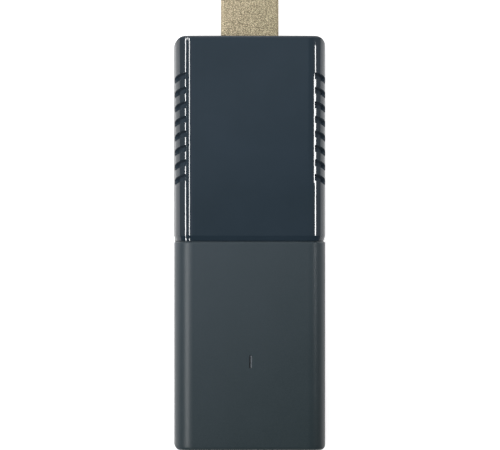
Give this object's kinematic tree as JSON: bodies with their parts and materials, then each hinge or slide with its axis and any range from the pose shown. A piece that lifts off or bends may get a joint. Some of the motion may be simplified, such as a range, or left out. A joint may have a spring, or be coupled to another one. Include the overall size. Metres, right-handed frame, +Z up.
{
  "type": "streaming media stick",
  "caption": "Flat media stick: gloss front cover with raked shoulder vents, matte rear cover, male video plug at one end, power socket and reset pinhole at the other.",
  "frame": {"origin": "centre of the housing's flat underside", "axes": "+Y along the stick towards the tip of the video plug, +Z up out of the top face, +X to the right seen from above with the plug pointing away"},
  "size_m": [0.0364, 0.1092, 0.014],
  "materials": {
    "gloss_cover": "polished moulded plastic",
    "matte_cover": "fine spark-eroded texture",
    "base_plastic": "fine spark-eroded texture",
    "board_laminate": "solder mask over laminate",
    "plug_metal": "bead-blasted warm nickel plating",
    "core_plastic": "moulded, as it leaves the tool",
    "contact_gold": "gold flash",
    "screw_steel": "zinc plated",
    "chip_package": "moulded epoxy",
    "pad_rubber": "soft silicone",
    "sink_aluminium": "extruded, anodised",
    "tinned_sheet": "tinned pressed sheet",
    "ferrite": "pressed ferrite",
    "capacitor_ceramic": "fired ceramic with tinned ends",
    "socket_metal": "nickel plated sheet",
    "lamp_body": "clear-topped lamp package",
    "pipe_clear": "clear moulded plastic",
    "plunger_plastic": "moulded nylon"
  },
  "bodies": {
    "housing": {"front_cover": "gloss_cover", "rear_cover": "matte_cover", "base_shell": "base_plastic", "main_board": "board_laminate", "plug_shell": "plug_metal", "plug_insulator": "core_plastic", "plug_contacts": "contact_gold", "board_screws": "screw_steel", "processor": "chip_package", "thermal_pad": "pad_rubber", "heat_sink": "sink_aluminium", "shield_fence": "tinned_sheet", "memory_chips": "chip_package", "flash_chip": "chip_package", "power_chip": "chip_package", "power_inductors": "ferrite", "board_capacitors": "capacitor_ceramic", "clock_crystal": "tinned_sheet", "radio_module": "board_laminate", "radio_shield": "tinned_sheet", "left_antenna": "tinned_sheet", "right_antenna": "tinned_sheet", "socket_shell": "socket_metal", "socket_tongue": "core_plastic", "socket_contacts": "contact_gold", "status_led": "lamp_body", "light_pipe": "pipe_clear", "switch_case": "core_plastic", "switch_cover": "socket_metal", "reset_dome": "socket_metal"},
    "reset_button": {"reset_plunger": "plunger_plastic"}
  },
  "joints": [
    {"name": "reset_press", "type": "slide", "parent": "housing", "child": "reset_button", "axis": [0, 1, 0], "range_m": [0, 0.00025], "stiffness_N_per_m": 4000}
  ]
}
